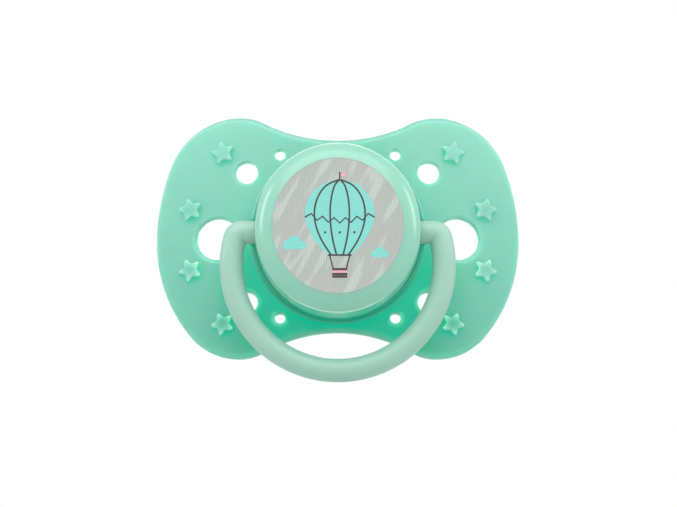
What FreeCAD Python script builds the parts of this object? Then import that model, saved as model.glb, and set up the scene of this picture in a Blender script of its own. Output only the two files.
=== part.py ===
import FreeCAD, Part
import math
import os

# A baby's pacifier: butterfly shield, silicone teat, knob of base and cap, picture disc and ring handle.
# Millimetres. +X is the width of the shield, +Y points at the mouth, -Y is the knob side and +Z is up.
# The origin is the centre of the shield's rear face, on the axis of the teat.

# ---- Shield ----
shield_half_width = 27.8
lobe_half_height = 18.7
waist_margin = 1.5  # of shield above and below the collar
upper_tip_radius = 32.0
upper_lobe_reach = 12.5  # from the tip of the shield in to the highest point of a lobe
upper_inner_radius = 9.0  # of the lobe's inner shoulder
lower_tip_radius = 23.8
lower_lobe_reach = 13.1  # from the tip of the shield in to the lowest point of a lobe
lower_inner_radius = 7.0  # of the lobe's inner shoulder
shield_thickness = 2.0
shield_bend_radius = 60.0  # of the rear face, about an upright axis on the mouth side
shield_edge_round = 0.8

# ---- Vents, placed round the collar by the wall left beside it and the angle above the X axis ----
large_vent_diameter = 6.4
large_vent_wall = 1.7
large_vent_angle = 0.0
large_vent_round = 0.55
middle_vent_diameter = 3.3
middle_vent_wall = 2.1
middle_vent_angle = 35.9
middle_vent_round = 0.35
small_vent_diameter = 1.6
small_vent_wall = 1.2
small_vent_angle = 55.1
small_vent_bevel = 0.2

# ---- Raised stars ----
star_radius = 2.1  # to the sharp corner, before the tips are rounded
star_valley_radius = 1.05
star_tip_round = 0.28
star_valley_round = 0.4
star_height = 0.5
star_top_bevel = 0.2
star_tilt = 12.0
shoulder_star_reach = 10.15  # from the tip of the shield in to the star's centre
shoulder_star_height = 13.25  # above and below the X axis
tip_star_reach = 5.15
tip_star_height = 4.7

# ---- Hub of the shield, the seat of knob and teat ----
hub_rise = 0.3
hub_foot_round = 0.2
teat_hole_radius = 6.0
flange_radius = 9.0
flange_thickness = 1.0
seat_clearance = 0.05

# ---- Knob base ----
collar_radius = 13.4
collar_wall = 0.5
collar_edge_round = 0.18
base_floor = 0.8
arm_lift = 1.0  # from the hub to the notch that the ring's arm lies in
spigot_wall = 1.2
spigot_length = 5.8
snap_ring_radius = 6.3
snap_ring_wall = 1.2
snap_ring_height = 5.8
snap_bead = 0.2
snap_clearance = 0.08

# ---- Knob cap and picture disc ----
cap_inset = 0.8  # the cap's widest edge lies this far inside the collar's
cap_gap = 0.15  # groove between the cap's skirt and the collar
cap_skirt_wall = 1.3
cap_side_height = 4.65  # from the pivot axis out to the widest edge
cap_crown_height = 2.15
cap_crown_bulge = 0.3
cap_rim_width = 2.6
cap_edge_round = 0.25
cap_roof = 1.3
socket_wall = 1.1
disc_thickness = 0.3

# ---- Ring handle and its bearings ----
bar_radius = 1.8
ring_side_gap = 1.05  # between the collar and the inside of the ring
ring_drop = 5.05  # centre of the ring below the pivot
ring_corner_radius = 1.15  # centre line of the corner where the ring turns into its arms
arm_clearance = 0.2
journal_radius = 1.1
journal_clearance = 0.08
bearing_length = 1.7
bearing_half_height = 2.3
head_radius = 1.4
head_length = 0.8
head_play = 0.15
shoulder_play = 0.3

# ---- Teat ----
teat_length = 29.0
teat_wall = 1.5
teat_neck_length = 2.5
teat_waist_at = 9.0
teat_waist_radius = 5.2
teat_bulb_at = 21.0
teat_bulb_half_width = 8.0
teat_bulb_half_height = 6.0
teat_sections = 12

# ---- Depths and radii that follow from the sizes ----
bend_axis_y = shield_bend_radius
front_bend_radius = shield_bend_radius + shield_thickness
seat_y = -shield_thickness - hub_rise
floor_y = seat_y - base_floor
pivot_y = seat_y - arm_lift - arm_clearance - bar_radius
spigot_end_y = seat_y + spigot_length
snap_top_y = floor_y - snap_ring_height
cap_radius = collar_radius - cap_inset
skirt_radius = collar_radius - collar_wall - cap_gap
skirt_inner_radius = skirt_radius - cap_skirt_wall
cap_edge_y = pivot_y - cap_side_height
cap_face_y = cap_edge_y - cap_crown_height
disc_seat_y = cap_face_y + disc_thickness
roof_y = disc_seat_y + cap_roof
disc_radius = cap_radius - cap_rim_width
socket_radius = snap_ring_radius + snap_clearance
neck_radius = teat_hole_radius - seat_clearance
spigot_radius = neck_radius - teat_wall - seat_clearance

# ---- Ring handle ----
ring_radius = collar_radius + ring_side_gap + bar_radius
ring_centre = (0.0, -ring_drop)
arm_hole_radius = bar_radius + arm_clearance
bearing_outer_x = skirt_inner_radius - cap_gap
bearing_inner_x = bearing_outer_x - bearing_length
arm_start_x = bearing_outer_x + shoulder_play
head_outer_x = bearing_inner_x - head_play
head_inner_x = head_outer_x - head_length
corner_x = math.sqrt((ring_radius - ring_corner_radius) ** 2 - (ring_drop - ring_corner_radius) ** 2)
corner_angle = math.degrees(math.atan2(ring_drop - ring_corner_radius, corner_x))

# ---- Waist of the shield ----
waist_half_height = collar_radius + waist_margin
waist_dip = lobe_half_height - waist_half_height

ORIGIN = FreeCAD.Vector(0, 0, 0)
RIGHT = FreeCAD.Vector(1, 0, 0)
MOUTHWARD = FreeCAD.Vector(0, 1, 0)
UP = FreeCAD.Vector(0, 0, 1)
TOLERANCE = 1e-3


# ---- Helpers ----
def front_point(x, z):
    """Point in the plane that the outlines are drawn in."""
    return FreeCAD.Vector(x, 0, z)


def on_circle(centre, radius, angle):
    """Point of a circle in that plane, the angle in degrees from +X towards +Z."""
    turn = math.radians(angle)
    return front_point(centre[0] + radius * math.cos(turn), centre[1] + radius * math.sin(turn))


def direction(start, end):
    """Angle in degrees of the line from one centre to another."""
    return math.degrees(math.atan2(end[1] - start[1], end[0] - start[0]))


def arc(centre, radius, start_angle, end_angle):
    """Arc of a circle between two angles, as an edge."""
    ends = [on_circle(centre, radius, angle) for angle in (start_angle, end_angle)]
    middle = on_circle(centre, radius, (start_angle + end_angle) / 2.0)
    return Part.Arc(ends[0], middle, ends[1]).toShape()


def plug(radius, y_front, y_rear, x=0.0, z=0.0):
    """Round plug along Y between two depths."""
    return Part.makeCylinder(radius, y_rear - y_front, FreeCAD.Vector(x, y_front, z), MOUTHWARD)


def rod(radius, x_from, x_to):
    """Round bar along X on the pivot axis."""
    return Part.makeCylinder(radius, x_to - x_from, FreeCAD.Vector(x_from, pivot_y, 0), RIGHT)


def block(x_from, x_to, y_from, y_to, half_height):
    corner = FreeCAD.Vector(x_from, y_from, -half_height)
    return Part.makeBox(x_to - x_from, y_to - y_from, 2.0 * half_height, corner)


def profile_line(corners):
    """Edges that join (radius, y) corners in turn."""
    places = [FreeCAD.Vector(radius, y, 0) for radius, y in corners]
    return Part.makePolygon(places).Edges


def turned(edges):
    """Solid of revolution about the teat's axis."""
    return Part.Face(Part.Wire(edges)).revolve(ORIGIN, MOUTHWARD, 360.0)


def both_sides(shape):
    """A shape and its twin across the middle plane."""
    return [shape, shape.mirror(ORIGIN, RIGHT)]


def bend_distance(place):
    """Distance of a point from the axis that the shield is bent about."""
    return math.hypot(place.x, place.y - bend_axis_y)


def bent_layer(inner_radius, outer_radius):
    """Shell about the bend axis, taller than the shield."""
    height = 4.0 * lobe_half_height
    base = FreeCAD.Vector(0, bend_axis_y, -height / 2.0)
    outer = Part.makeCylinder(outer_radius, height, base, UP)
    return outer.cut(Part.makeCylinder(inner_radius, height, base, UP))


def edges_where(shape, test):
    """Edges whose ends and middle all pass a test."""
    found = []
    for edge in shape.Edges:
        middle = edge.valueAt((edge.FirstParameter + edge.LastParameter) / 2.0)
        if all(test(place) for place in [vertex.Point for vertex in edge.Vertexes] + [middle]):
            found.append(edge)
    return found


def radius_about(place, x=0.0, z=0.0):
    """Distance of a point from a line along Y."""
    return math.hypot(place.x - x, place.z - z)


# ---- Shield ----
def quarter_outline(tip_radius, lobe_reach, inner_radius):
    """Upper right quarter of an outline: tip, outer shoulder, inner shoulder and waist arcs, tangent."""
    lobe_x = shield_half_width - lobe_reach
    tip_to_lobe = tip_radius - lobe_reach
    outer_radius = (tip_radius ** 2 - tip_to_lobe ** 2 - lobe_half_height ** 2) / (
        2.0 * (tip_radius - lobe_half_height))
    waist_radius = (lobe_x ** 2 + waist_dip ** 2) / (2.0 * waist_dip) - inner_radius
    tip_centre = (shield_half_width - tip_radius, 0.0)
    outer_centre = (lobe_x, lobe_half_height - outer_radius)
    inner_centre = (lobe_x, lobe_half_height - inner_radius)
    waist_centre = (0.0, waist_half_height + waist_radius)
    tip_end = direction(tip_centre, outer_centre)
    waist_start = direction(inner_centre, waist_centre)
    return [
        arc(tip_centre, tip_radius, 0.0, tip_end),
        arc(outer_centre, outer_radius, tip_end, 90.0),
        arc(inner_centre, inner_radius, 90.0, waist_start),
        arc(waist_centre, waist_radius, waist_start - 180.0, -90.0),
    ]


def shield_outline():
    """Butterfly outline with fuller shoulders on its upper lobes than on the lower ones."""
    upper = quarter_outline(upper_tip_radius, upper_lobe_reach, upper_inner_radius)
    lower = quarter_outline(lower_tip_radius, lower_lobe_reach, lower_inner_radius)
    right = upper + [edge.mirror(ORIGIN, UP) for edge in lower]
    whole = right + [edge.mirror(ORIGIN, RIGHT) for edge in right]
    return Part.Wire(Part.__sortEdges__(whole))


def make_plate():
    """Bent plate with the butterfly outline and soft edges."""
    depth = 2.0 * shield_bend_radius
    slab = Part.Face(shield_outline()).extrude(MOUTHWARD * depth)
    slab.translate(MOUTHWARD * (-depth / 2.0))
    plate = slab.common(bent_layer(shield_bend_radius, front_bend_radius))
    rims = []
    for face_radius in (shield_bend_radius, front_bend_radius):
        rims += edges_where(plate, lambda place: abs(bend_distance(place) - face_radius) < TOLERANCE)
    return plate.makeFillet(shield_edge_round, rims)


def vent_places():
    """Centre, radius and softening of the rim of every vent, over the four quarters."""
    kinds = [
        (large_vent_diameter, large_vent_wall, large_vent_angle, large_vent_round),
        (middle_vent_diameter, middle_vent_wall, middle_vent_angle, middle_vent_round),
        (small_vent_diameter, small_vent_wall, small_vent_angle, small_vent_bevel),
    ]
    for diameter, wall, angle, softening in kinds:
        centre = on_circle((0.0, 0.0), collar_radius + wall + diameter / 2.0, angle)
        heights = (centre.z, -centre.z) if centre.z > TOLERANCE else (centre.z,)
        for z in heights:
            for x in (centre.x, -centre.x):
                yield x, z, diameter / 2.0, softening


def star_prism(x, z, tilt):
    """Five-pointed prism along Y with rounded tips and valleys."""
    corners = []
    for index in range(10):
        radius = star_valley_radius if index % 2 else star_radius
        corners.append(on_circle((x, z), radius, 90.0 + tilt + 36.0 * index))
    depth = shield_bend_radius
    prism = Part.Face(Part.makePolygon(corners + corners[:1])).extrude(MOUTHWARD * depth)
    prism.translate(MOUTHWARD * (-depth / 2.0))
    tips = edges_where(prism, lambda place: abs(radius_about(place, x, z) - star_radius) < TOLERANCE)
    prism = prism.makeFillet(star_tip_round, tips)
    valleys = edges_where(
        prism, lambda place: abs(radius_about(place, x, z) - star_valley_radius) < TOLERANCE)
    return prism.makeFillet(star_valley_round, valleys)


def star(x, z, tilt):
    """Star that rises from the bent front face and follows its bend."""
    top_radius = front_bend_radius + star_height
    raised = star_prism(x, z, tilt).common(bent_layer(front_bend_radius - star_height, top_radius))
    rim = edges_where(raised, lambda place: abs(bend_distance(place) - top_radius) < TOLERANCE)
    return raised.makeChamfer(star_top_bevel, rim)


def star_places():
    """Centres and tilts of the eight stars: the left and lower ones mirror the upper right pair."""
    near_shoulder = (shield_half_width - shoulder_star_reach, shoulder_star_height)
    near_tip = (shield_half_width - tip_star_reach, tip_star_height)
    for x, z in (near_shoulder, near_tip):
        for side in (1, -1):
            yield side * x, z, -side * star_tilt
            yield side * x, -z, 180.0 + side * star_tilt


def make_shield():
    reach = 2.0 * shield_half_width
    shield = make_plate().fuse(plug(collar_radius, seat_y, -shield_thickness / 4.0))
    foot = edges_where(shield, lambda place: abs(radius_about(place) - collar_radius) < TOLERANCE
                       and abs(bend_distance(place) - front_bend_radius) < TOLERANCE)
    shield = shield.makeFillet(hub_foot_round, foot)
    for x, z, radius, softening in vent_places():
        shield = shield.cut(plug(radius, -reach, reach, x, z))
        rim = edges_where(shield, lambda place: abs(radius_about(place, x, z) - radius) < TOLERANCE)
        if radius > small_vent_diameter / 2.0:
            shield = shield.makeFillet(softening, rim)
        else:
            shield = shield.makeChamfer(softening, rim)
    shield = shield.cut(plug(teat_hole_radius, -reach, reach))
    shield = shield.cut(plug(flange_radius + seat_clearance, -reach, seat_y + flange_thickness))
    for x, z, tilt in star_places():
        shield = shield.fuse(star(x, z, tilt))
    return shield


# ---- Teat ----
def eased(y, start, end):
    """Smooth step from 0 to 1 between two depths."""
    part = min(max((y - start) / (end - start), 0.0), 1.0)
    return part * part * (3.0 - 2.0 * part)


def teat_half_size(y, bulb, inset):
    """Half width or half height of the teat: neck, waist, bulb and rounded nose."""
    if y > teat_bulb_at:
        part = (y - teat_bulb_at) / (teat_length - inset - teat_bulb_at)
        return (bulb - inset) * math.sqrt(1.0 - part * part)
    waist = neck_radius + (teat_waist_radius - neck_radius) * eased(y, teat_neck_length, teat_waist_at)
    return waist + (bulb - waist) * eased(y, teat_waist_at, teat_bulb_at) - inset


def oval(y, half_width, half_height):
    """Ellipse across the teat's axis, or a circle where both halves are alike."""
    centre = MOUTHWARD * y
    if abs(half_width - half_height) < TOLERANCE:
        return Part.Circle(centre, MOUTHWARD, half_width).toShape()
    wide = centre + RIGHT * half_width
    tall = centre + UP * half_height
    return Part.Ellipse(wide, tall, centre).toShape()


def teat_loft(inset):
    """Neck to nose through ellipses, drawn in by a wall for the hollow."""
    end = teat_length - inset
    sections = []
    for index in range(teat_sections):
        part = math.sin(math.pi / 2.0 * index / teat_sections)
        y = teat_neck_length + (end - teat_neck_length) * part
        width = teat_half_size(y, teat_bulb_half_width, inset)
        height = teat_half_size(y, teat_bulb_half_height, inset)
        sections.append(Part.Wire([oval(y, width, height)]))
    sections.append(Part.Vertex(MOUTHWARD * end))
    return Part.makeLoft(sections, True, False)


def make_teat():
    flange_rear_y = seat_y + flange_thickness
    teat = plug(flange_radius, seat_y, flange_rear_y)
    teat = teat.fuse(plug(neck_radius, flange_rear_y, teat_neck_length)).fuse(teat_loft(0.0))
    bore = plug(neck_radius - teat_wall, seat_y, teat_neck_length)
    return teat.cut(bore.fuse(teat_loft(teat_wall)))


# ---- Knob base ----
def bearing_block(y_from, y_to):
    """Block round a journal, inside the cap's skirt."""
    inside_skirt = plug(bearing_outer_x, y_from, y_to)
    return block(bearing_inner_x, bearing_outer_x, y_from, y_to, bearing_half_height).common(inside_skirt)


def bearing_bore():
    """Journal hole and the wider hole for the arm outside it, long enough to leave the knob."""
    journal = rod(journal_radius + journal_clearance, head_inner_x, bearing_outer_x)
    return journal.fuse(rod(arm_hole_radius, bearing_outer_x, ring_radius))


def make_knob_base():
    snap_inner = snap_ring_radius - snap_ring_wall
    bead_y = snap_top_y + 2.0 * snap_bead
    hollow_radius = spigot_radius - spigot_wall
    corners = [
        (0, spigot_end_y), (spigot_radius, spigot_end_y), (spigot_radius, seat_y),
        (collar_radius, seat_y), (collar_radius, pivot_y), (collar_radius - collar_wall, pivot_y),
        (collar_radius - collar_wall, floor_y), (snap_ring_radius, floor_y),
        (snap_ring_radius, bead_y + snap_bead), (snap_ring_radius + snap_bead, bead_y),
        (snap_ring_radius, bead_y - snap_bead), (snap_ring_radius - snap_bead, snap_top_y),
        (snap_inner, snap_top_y), (snap_inner, floor_y), (hollow_radius, floor_y),
        (hollow_radius, spigot_end_y - spigot_wall), (0, spigot_end_y - spigot_wall), (0, spigot_end_y),
    ]
    base = turned(profile_line(corners))
    rim = edges_where(base, lambda place: abs(place.y - pivot_y) < TOLERANCE
                      and abs(radius_about(place) - collar_radius) < TOLERANCE)
    base = base.makeFillet(collar_edge_round, rim)
    for bearing in both_sides(bearing_block(pivot_y, floor_y)):
        base = base.fuse(bearing)
    for bore in both_sides(bearing_bore()):
        base = base.cut(bore)
    return base


# ---- Knob cap and picture disc ----
def make_knob_cap():
    bead_y = snap_top_y + 2.0 * snap_bead
    socket_outer = socket_radius + socket_wall
    chord = FreeCAD.Vector(disc_radius - cap_radius, cap_face_y - cap_edge_y, 0)
    outward = FreeCAD.Vector(-chord.y, chord.x, 0).normalize()
    edge_point = FreeCAD.Vector(cap_radius, cap_edge_y, 0)
    crown_middle = edge_point + chord * 0.5 + outward * cap_crown_bulge
    crown = Part.Arc(edge_point, crown_middle, edge_point + chord).toShape()
    corners = [
        (disc_radius, cap_face_y), (disc_radius, disc_seat_y), (0, disc_seat_y), (0, roof_y),
        (socket_radius, roof_y), (socket_radius, bead_y - snap_bead),
        (socket_radius + snap_bead, bead_y), (socket_radius, bead_y + snap_bead),
        (socket_radius, pivot_y), (socket_outer, pivot_y), (socket_outer, roof_y),
        (skirt_inner_radius, roof_y), (skirt_inner_radius, floor_y), (skirt_radius, floor_y),
        (skirt_radius, pivot_y), (cap_radius, cap_edge_y),
    ]
    cap = turned([crown] + profile_line(corners))
    rim = edges_where(cap, lambda place: abs(radius_about(place) - cap_radius) < TOLERANCE
                      and abs(place.y - cap_edge_y) < TOLERANCE)
    cap = cap.makeFillet(cap_edge_round, rim)
    gate = block(bearing_outer_x, ring_radius, pivot_y, seat_y, arm_hole_radius)
    bearing = bearing_block(roof_y, pivot_y).fuse(
        block(bearing_outer_x - cap_gap, skirt_inner_radius + cap_gap, roof_y, pivot_y, bearing_half_height))
    for shape in both_sides(bearing):
        cap = cap.fuse(shape)
    for shape in both_sides(bearing_bore().fuse(gate)):
        cap = cap.cut(shape)
    return cap


def make_picture_disc():
    return plug(disc_radius, cap_face_y, disc_seat_y)


# ---- Ring handle ----
def ring_bow():
    """The round bow, from one corner under the knob to the other."""
    start = on_circle(ring_centre, ring_radius, corner_angle)
    along = math.radians(corner_angle)
    heading = FreeCAD.Vector(math.sin(along), 0, -math.cos(along))
    centre = FreeCAD.Vector(start.x, pivot_y, start.z)
    section = Part.Face(Part.Wire(Part.Circle(centre, heading, bar_radius).toShape()))
    axis = FreeCAD.Vector(ring_centre[0], pivot_y, ring_centre[1])
    return section.revolve(axis, MOUTHWARD, 180.0 + 2.0 * corner_angle)


def ring_corner():
    """Outside of the tight corner: the bar's section down to the bend axis, turned about it."""
    half_chord = math.sqrt(bar_radius ** 2 - ring_corner_radius ** 2)
    low = -ring_corner_radius
    ends = [FreeCAD.Vector(corner_x, pivot_y + side * half_chord, low) for side in (-1, 1)]
    crest = FreeCAD.Vector(corner_x, pivot_y, bar_radius)
    outline = [Part.Arc(ends[0], crest, ends[1]).toShape(), Part.LineSegment(ends[1], ends[0]).toShape()]
    axis = FreeCAD.Vector(corner_x, pivot_y, low)
    return Part.Face(Part.Wire(outline)).revolve(axis, MOUTHWARD, 90.0 - corner_angle)


def make_ring_handle():
    arm = rod(bar_radius, arm_start_x, corner_x)
    journal = rod(journal_radius, head_inner_x, arm_start_x)
    head = rod(head_radius, head_inner_x, head_outer_x)
    end = arm.fuse([ring_corner(), journal, head])
    return ring_bow().fuse(both_sides(end)).removeSplitter()


def main():
    os.makedirs("parts", exist_ok=True)
    pieces = {
        "shield": make_shield(),
        "teat": make_teat(),
        "knob_base": make_knob_base(),
        "knob_cap": make_knob_cap(),
        "picture_disc": make_picture_disc(),
        "ring_handle": make_ring_handle(),
    }
    for name, shape in pieces.items():
        shape.exportStep("parts/" + name + ".step")
        print(name, shape.isValid(), len(shape.Solids), round(shape.Volume, 2), shape.BoundBox)


main()
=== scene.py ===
"""Looks of a pacifier with a ring handle: mint plastic, silicone teat and a printed film in its knob."""

import math

import bmesh
import bpy
from mathutils import Matrix, Vector


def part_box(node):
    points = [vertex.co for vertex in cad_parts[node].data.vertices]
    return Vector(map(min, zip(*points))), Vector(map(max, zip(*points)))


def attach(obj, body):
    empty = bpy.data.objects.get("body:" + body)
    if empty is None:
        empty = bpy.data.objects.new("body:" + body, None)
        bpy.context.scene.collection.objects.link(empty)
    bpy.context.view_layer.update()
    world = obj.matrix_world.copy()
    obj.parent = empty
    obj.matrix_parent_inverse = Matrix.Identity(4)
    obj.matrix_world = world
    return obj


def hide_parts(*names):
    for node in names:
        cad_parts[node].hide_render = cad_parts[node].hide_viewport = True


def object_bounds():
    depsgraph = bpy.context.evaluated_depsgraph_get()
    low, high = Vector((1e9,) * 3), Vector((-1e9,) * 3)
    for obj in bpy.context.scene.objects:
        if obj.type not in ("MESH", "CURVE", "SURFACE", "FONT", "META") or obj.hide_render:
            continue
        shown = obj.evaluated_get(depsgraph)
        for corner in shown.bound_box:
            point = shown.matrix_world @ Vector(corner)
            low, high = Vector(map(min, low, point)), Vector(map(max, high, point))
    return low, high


bl_info = {
    "name": "Pacifier with ring handle",
    "version": (1, 0, 0),
    "blender": (4, 5, 0),
    "location": "View3D > Sidebar > Pacifier",
    "description": "Dresses the pacifier's plastic, silicone and printed pieces and sets its stage",
    "category": "Object",
}

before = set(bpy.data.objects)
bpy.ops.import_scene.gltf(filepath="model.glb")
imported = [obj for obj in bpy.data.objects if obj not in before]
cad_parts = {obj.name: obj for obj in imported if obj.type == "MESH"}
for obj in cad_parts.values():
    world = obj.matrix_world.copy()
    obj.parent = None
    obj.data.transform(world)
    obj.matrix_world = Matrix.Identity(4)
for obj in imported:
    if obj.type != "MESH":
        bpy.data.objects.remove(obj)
CAD_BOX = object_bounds()
MM = 0.001

KNOB_BODY = "soother"

FILM_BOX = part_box("picture_disc")
TEAT_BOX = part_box("teat")
FILM_RADIUS = FILM_BOX[1].x
FILM_FACE = FILM_BOX[0].y
FILM_BACK = FILM_BOX[1].y
FILM_INSET = 0.035 * MM
INK_LIFT = 0.012 * MM
INK_FLATNESS = 0.04

# Shape of the balloon: how far its throat hangs below its middle and its ribs stand beside it, in radii
THROAT_DROP = 1.18
RIB_PLACES = (-0.74, -0.28, 0.28, 0.74)
RIB_STEPS = 8
ZIGZAG_TEETH = 12

# Sockets of a node that blends two colours
FIRST, SECOND, RESULT = 6, 7, 2

WHITE = (1.0, 1.0, 1.0)
BLACK = (0.0, 0.0, 0.0)
FLOOR_PALER = (0.88, 0.88, 0.88)
FLOOR_DARKER = (0.84, 0.84, 0.84)
FLOOR_UNSEEN = (0.30, 0.30, 0.30)
FLOOR_LIGHT = 0.5
FLOOR_FADE = (0.30, 0.60)

# Over what slopes, heights, radii or openness each painted effect of the plastic comes in: painted shade,
# painted glow, painted halo and the painted highlight on the cap's edge.
# A slope is the upward part of the surface's normal.
LEAN_SLOPES = (-0.5, 0.0)
UPRIGHT_SLOPES = (-0.75, -0.15)
TOPSIDE_SLOPES = (0.25, 0.85)
DEEP_OPENNESS = (0.45, 0.10)
HALO_OPENNESS = (0.95, 0.45)
HALO_RADII = (14.9 * MM, 15.3 * MM)
CREST_HEIGHTS = (-2.0 * MM, 4.0 * MM)
SHADE_GRADIENT_HEIGHTS = (-18.0 * MM, 18.0 * MM)
SHADE_HEIGHTS = (-13.0 * MM, -3.0 * MM)
UPPER_SHADE = 0.64
# Heights over which the painted highlight on the cap's edge shows, at its top and at its bottom.
EDGE_UPPER_HEIGHTS = (-4.0 * MM, 11.0 * MM)
EDGE_LOWER_HEIGHTS = (-9.8 * MM, -12.0 * MM)
EDGE_LOWER_SHARE = 0.8
SHELTER_SAMPLES = 12
GRAIN_STRENGTH = 0.12
GRAIN_HEIGHT = 0.02 * MM
PLASTIC_IOR = 1.49
SILICONE_IOR = 1.41

# Finish of each plastic. Under is how much painted shade a face that looks down gets, and over what slopes.
# Open and closed set where painted shade comes in on sheltered places; through names the mask that drives the
# painted glow, which is emission, and share sets its strength; halo is how strongly the edges get the painted
# halo.
SATIN = {"smooth": 0.30, "rough": 0.40, "translucency": 1.0, "depth": 2.6 * MM, "reach": (0.10, 1.0, 0.62),
         "gloss": 0.12, "coat": 0.0, "open": 0.85, "closed": 0.22}
SHIELD_FINISH = {**SATIN, "under": (0.0, -0.1, -0.6), "through": "Mask", "share": 1.0, "halo": 1.0}
COLLAR_FINISH = {**SATIN, "under": (1.0, -0.1, -0.6), "through": "Deep", "share": 0.3, "halo": 0.0}
CAP_FINISH = {"smooth": 0.18, "rough": 0.26, "translucency": 0.8, "depth": 1.1 * MM,
              "reach": (0.25, 1.0, 0.7), "gloss": 0.5, "coat": 0.05, "open": 0.60, "closed": 0.0,
              "under": (0.55, -0.75, -0.95), "through": "Mask", "share": 0.45}
RING_FINISH = {"smooth": 0.34, "rough": 0.44, "translucency": 0.6, "depth": 0.9 * MM,
               "reach": (0.4, 1.0, 0.75), "gloss": 0.45, "coat": 0.0}

# Levels of the noise between which a streak of the film comes in, and shades of the raster on it
STREAK_LEVELS = (0.47, 0.60)
STREAK_SLANT = math.radians(-28.0)
STREAK_SQUEEZE = 0.18
RASTER_SHADES = (0.89, 1.07)

# Name, place, size and power of each lamp
LAMPS = (("overhead softbox", (0.0, -0.45, 0.55), (1.10, 0.80), 6.6),
         ("left strip", (-0.50, -0.04, 0.19), (0.10, 0.30), 0.6),
         ("right strip", (0.50, -0.04, 0.19), (0.10, 0.30), 0.6),
         ("rear softbox", (0.0, 0.70, 0.10), (0.80, 0.60), 5.0))


# ---- Settings that a user would change ----
def colour(name, description, default):
    """A paint colour with its own button in the panel."""
    return bpy.props.FloatVectorProperty(
        name=name, description=description, default=default, subtype="COLOR", size=3, min=0.0, max=1.0)


def length(name, description, default):
    """A length in metres."""
    return bpy.props.FloatProperty(
        name=name, description=description, default=default, subtype="DISTANCE", min=0.0)


def angle(name, description, default):
    """An angle, written in degrees."""
    return bpy.props.FloatProperty(
        name=name, description=description, default=math.radians(default), subtype="ANGLE")


class PlasticSettings(bpy.types.PropertyGroup):
    """Colours and finish of the moulded plastic pieces, and of the shade, glow, halo and edge highlight
    painted on them.
    """

    shield_colour: colour("Shield", "Colour of the shield and of the knob's collar", (0.355, 0.705, 0.610))
    shield_deep: colour("Shield, thick", "Colour where the shield's plastic is thick or runs cloudy",
                        (0.325, 0.670, 0.575))
    cap_colour: colour("Cap", "Colour of the cap", (0.335, 0.675, 0.545))
    cap_deep: colour("Cap, thick", "Colour where the cap's plastic runs cloudy", (0.305, 0.650, 0.510))
    ring_colour: colour("Ring", "Colour of the ring handle", (0.395, 0.640, 0.535))
    ring_deep: colour("Ring, thick", "Colour where the ring's plastic runs cloudy", (0.365, 0.615, 0.505))
    # Painted shade: the deep green mixed into the plastic's colour where it is sheltered from the lamps.
    painted_shade_colour: colour("Shade", "Colour of the plastic where no direct light falls on it",
                        (0.003, 0.340, 0.220))
    # Painted glow: light given off as emission where the plastic is sheltered from the lamps, standing in for
    # light that it would let through.
    painted_glow_colour: colour("Glow", "Light that the plastic lets through where no direct light falls on it",
                           (0.0, 0.330, 0.190))
    # Painted highlight: a pale line along the cap's edge, standing in for a reflection of the lamps.
    painted_edge_highlight: colour("Edge", "Colour of the line along the cap's edge", (0.75, 0.92, 0.85))
    cap_stretch: bpy.props.FloatProperty(
        name="Cap stretch", description="How much taller than wide the knob's cap is", default=1.04,
        min=1.0, max=1.06)
    edge_radius: length("Edge radius", "Radius of the cap's edge", 12.5 * MM)
    edge_depth: bpy.props.FloatProperty(
        name="Edge depth", description="Depth of the cap's edge", default=-9.98 * MM, subtype="DISTANCE")
    edge_width: length("Edge width", "Half width of the line along the cap's edge", 0.32 * MM)
    # Painted halo: paler colour along the edges and round the vents, standing in for light that enters there;
    # the crest colour is used along the upper edges, and the reach is how far it runs in.
    painted_halo_colour: colour("Halo", "Colour along the edges and round the vents, where light enters from outside",
                        (0.520, 0.780, 0.660))
    painted_crest_colour: colour("Crest", "Colour along the upper edges", (0.420, 0.650, 0.560))
    halo_reach: length("Halo reach", "How far light reaches in from an edge", 1.0 * MM)
    # Painted shade, darker towards the bottom of the shield: the upper and lower tints are multiplied into
    # its colour at its top and its bottom.
    shade_gradient_top: colour("Upper tint", "Tint of the shield's upper edge", WHITE)
    # Painted shade: darkens the shield's rim where its surface faces up.
    topside_shade_tint: colour("Rim tint", "Tint of the shield's rim where it faces up", (0.74, 0.71, 0.69))
    shade_gradient_bottom: colour("Lower tint", "Tint of the shield's lower edge", (0.58, 0.80, 0.73))
    shelter_reach: length("Shelter reach", "How far away a piece still shelters the plastic", 10 * MM)
    cloud_size: length("Cloud size", "Width of the faint clouds in the plastic", 9 * MM)
    grain_size: length("Grain size", "Width of one grain of the moulded surface", 0.35 * MM)


class SiliconeSettings(bpy.types.PropertyGroup):
    """Size of the teat's wall and the colour of its silicone."""

    colour: colour("Silicone", "Colour of the silicone", (0.86, 0.88, 0.86))
    neck_radius: length("Neck radius", "Radius of the teat's neck", 5.95 * MM)
    waist_radius: length("Waist radius", "Radius of the teat's waist", 5.2 * MM)
    bulb_half_width: length("Bulb half width", "Half of the bulb's width", 8.0 * MM)
    bulb_half_height: length("Bulb half height", "Half of the bulb's height", 6.0 * MM)
    flange_radius: length("Flange radius", "Radius of the flange clamped behind the shield", 8.95 * MM)
    flange_thickness: length("Flange thickness", "Thickness of the flange", 1.0 * MM)
    wall: length("Wall", "Thickness of the teat's wall", 1.4 * MM)


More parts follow.
